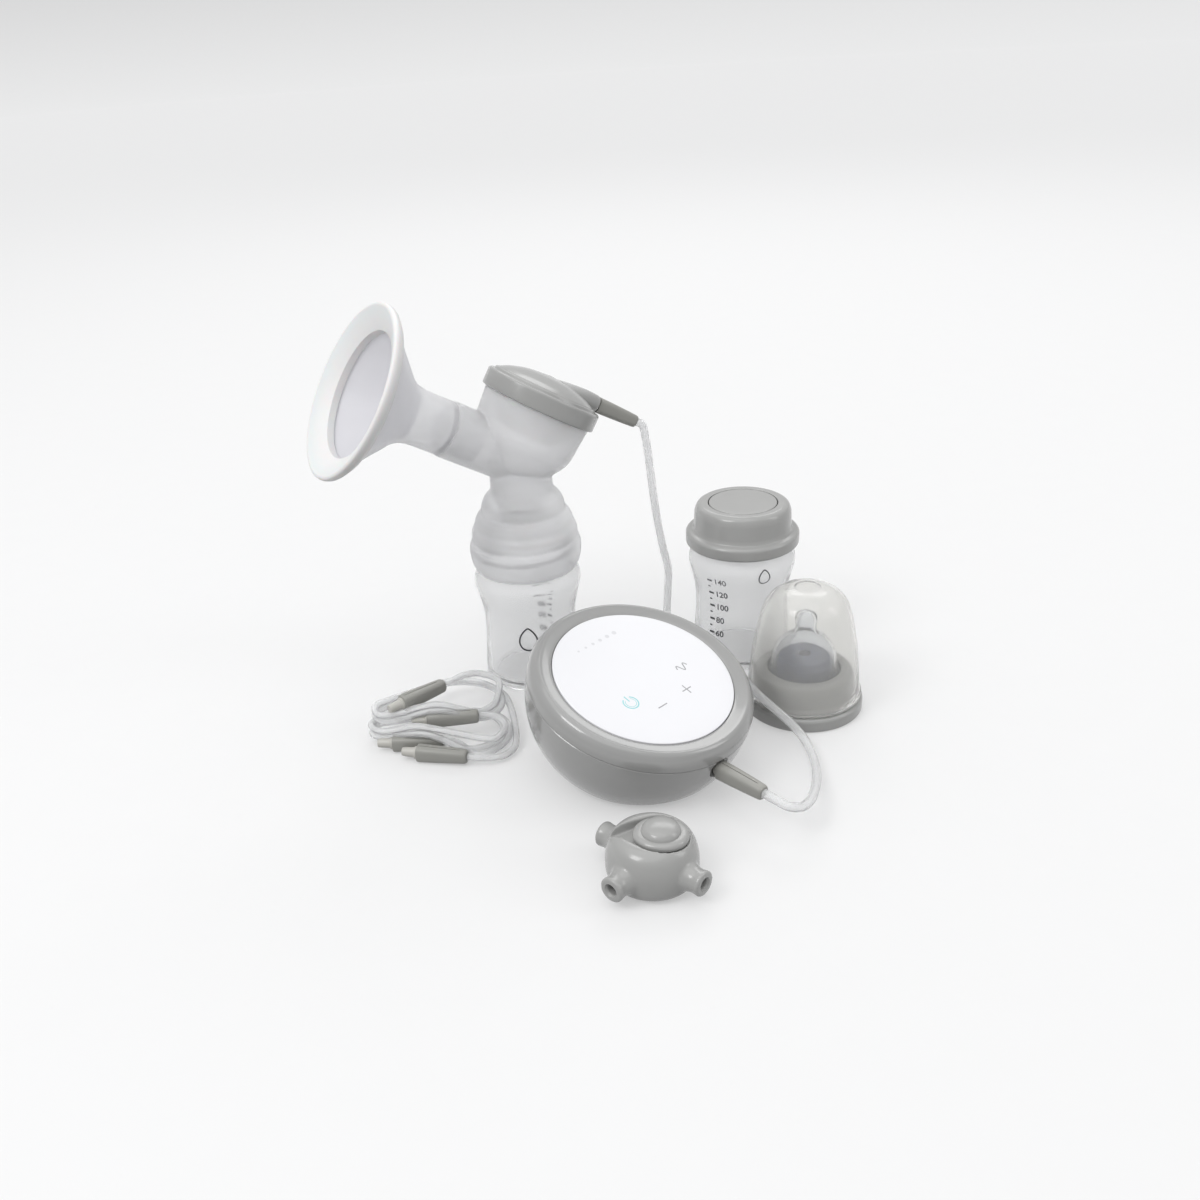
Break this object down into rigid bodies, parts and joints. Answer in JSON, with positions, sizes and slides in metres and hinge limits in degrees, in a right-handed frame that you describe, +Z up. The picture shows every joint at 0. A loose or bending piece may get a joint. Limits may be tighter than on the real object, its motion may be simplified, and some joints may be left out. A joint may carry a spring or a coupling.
{
  "type": "breast pump",
  "caption": "Electric breast pump set: slanted round touch-panel motor unit, air tube, breast shield kit on a bottle, lidded storage bottle, covered teat, tube splitter and spare tubing.",
  "frame": {"origin": "centre of the underside of the motor unit's round base pad, on the table", "axes": "+Z up; +X to the user's right and +Y away from the user as the set stands, facing the touch panel"},
  "size_m": [0.2895, 0.2598, 0.226],
  "materials": {
    "grey_plastic": "satin moulded warm grey",
    "plug_plastic": "satin soft grey plug",
    "dark_plastic": "matt dark grey",
    "black_plastic": "matt black",
    "white_panel": "glossy white panel with printed icons",
    "clear_plastic": "clear polypropylene, gloss",
    "frosted_plastic": "translucent polypropylene, satin",
    "white_silicone": "soft white silicone",
    "clear_silicone": "clear silicone with a blue-grey cast",
    "tinted_plastic": "blue-grey translucent plastic",
    "clear_tube": "clear soft tubing",
    "grey_rubber": "matt rubber",
    "black_rubber": "matt rubber",
    "steel": "plain steel",
    "brass": "plain brass",
    "circuit_board": "solder-masked board",
    "battery_wrap": "heat-shrink wrap"
  },
  "bodies": {
    "root": {"lower_housing": "grey_plastic", "top_bezel": "grey_plastic", "touch_panel": "white_panel", "housing_seal": "black_rubber", "circuit_board": "circuit_board", "base_plate": "grey_plastic", "base_pad": "grey_rubber", "inner_frame": "frosted_plastic", "base_screw_1": "steel", "base_screw_2": "steel", "base_screw_3": "steel", "battery_cell": "battery_wrap", "dc_motor": "steel", "pump_head": "dark_plastic", "pump_diaphragm": "black_rubber", "pump_cap": "dark_plastic", "release_valve": "steel", "inner_air_hose": "clear_tube", "air_port": "dark_plastic", "charging_socket": "black_plastic", "pump_body": "frosted_plastic", "duckbill_valve": "white_silicone", "kit_cap": "grey_plastic", "pump_membrane": "white_silicone", "tube_plug_port": "plug_plastic", "tube_plug_cap": "plug_plastic", "air_tube": "clear_tube", "spare_plug_1": "plug_plastic", "spare_plug_2": "plug_plastic", "spare_plug_3": "plug_plastic", "spare_plug_4": "plug_plastic", "spare_hank_lower": "clear_tube", "spare_hank_upper": "clear_tube"},
    "drive_cam": {"drive_cam": "brass"},
    "valve_plunger": {"valve_plunger": "brass"},
    "bottle_seal": {"bottle_seal_ring": "white_silicone"},
    "feeding_bottle": {"feeding_bottle": "clear_plastic"},
    "shield": {"breast_shield": "frosted_plastic", "shield_cushion": "white_silicone"},
    "storage_bottle": {"storage_bottle": "clear_plastic"},
    "storage_disc": {"storage_disc": "grey_plastic"},
    "storage_collar": {"storage_collar": "grey_plastic"},
    "teat_set": {"teat_collar": "grey_plastic", "teat": "clear_silicone", "teat_vent": "tinted_plastic"},
    "dome_cover": {"dome_cover": "clear_plastic"},
    "splitter": {"splitter_body": "grey_plastic", "splitter_base": "grey_plastic"},
    "selector": {"selector_knob": "grey_plastic", "selector_rotor": "frosted_plastic"}
  },
  "joints": [
    {"name": "cam_spin", "type": "hinge", "parent": "root", "child": "drive_cam", "pos_m": [0.00399, -0.00448, 0.0224], "axis": [0.7466, 0.6652, 0], "continuous": true},
    {"name": "plunger_slide", "type": "slide", "parent": "root", "child": "valve_plunger", "axis": [0.7466, 0.6652, 0], "range_m": [0, 0.0015], "stiffness_N_per_m": 200},
    {"name": "bottle_drop", "type": "slide", "parent": "root", "child": "bottle_seal", "axis": [0, 0, -1], "range_m": [0, 0.0076]},
    {"name": "bottle_turn", "type": "hinge", "parent": "bottle_seal", "child": "feeding_bottle", "pos_m": [-0.0534, 0.1042, 0], "axis": [0, 0, -1], "range_deg": [0, 450]},
    {"name": "shield_pull", "type": "slide", "parent": "root", "child": "shield", "axis": [-0.7919, -0.328, 0.515], "range_m": [0, 0.022]},
    {"name": "storage_lift", "type": "slide", "parent": "root", "child": "storage_bottle", "axis": [0, 0, 1], "range_m": [0, 0.12]},
    {"name": "lid_rise", "type": "slide", "parent": "storage_bottle", "child": "storage_disc", "axis": [0, 0, 1], "range_m": [0, 0.0076]},
    {"name": "lid_turn", "type": "hinge", "parent": "storage_disc", "child": "storage_collar", "pos_m": [0.0707, 0.1112, 0.0713], "axis": [0, 0, 1], "range_deg": [0, 450]},
    {"name": "teat_set_lift", "type": "slide", "parent": "root", "child": "teat_set", "axis": [0, 0, 1], "range_m": [0, 0.12]},
    {"name": "cover_lift", "type": "slide", "parent": "teat_set", "child": "dome_cover", "axis": [0, 0, 1], "range_m": [0, 0.075]},
    {"name": "splitter_lift", "type": "slide", "parent": "root", "child": "splitter", "axis": [0, 0, 1], "range_m": [0, 0.06]},
    {"name": "selector_turn", "type": "hinge", "parent": "splitter", "child": "selector", "pos_m": [-0.0025, -0.093, 0.022], "axis": [0, 0, 1], "range_deg": [0, 90]}
  ],
  "couplings": [
    {"joint": "bottle_drop", "follows": "bottle_turn", "m_per_rad": 0.00095493},
    {"joint": "lid_rise", "follows": "lid_turn", "m_per_rad": 0.00095493}
  ]
}
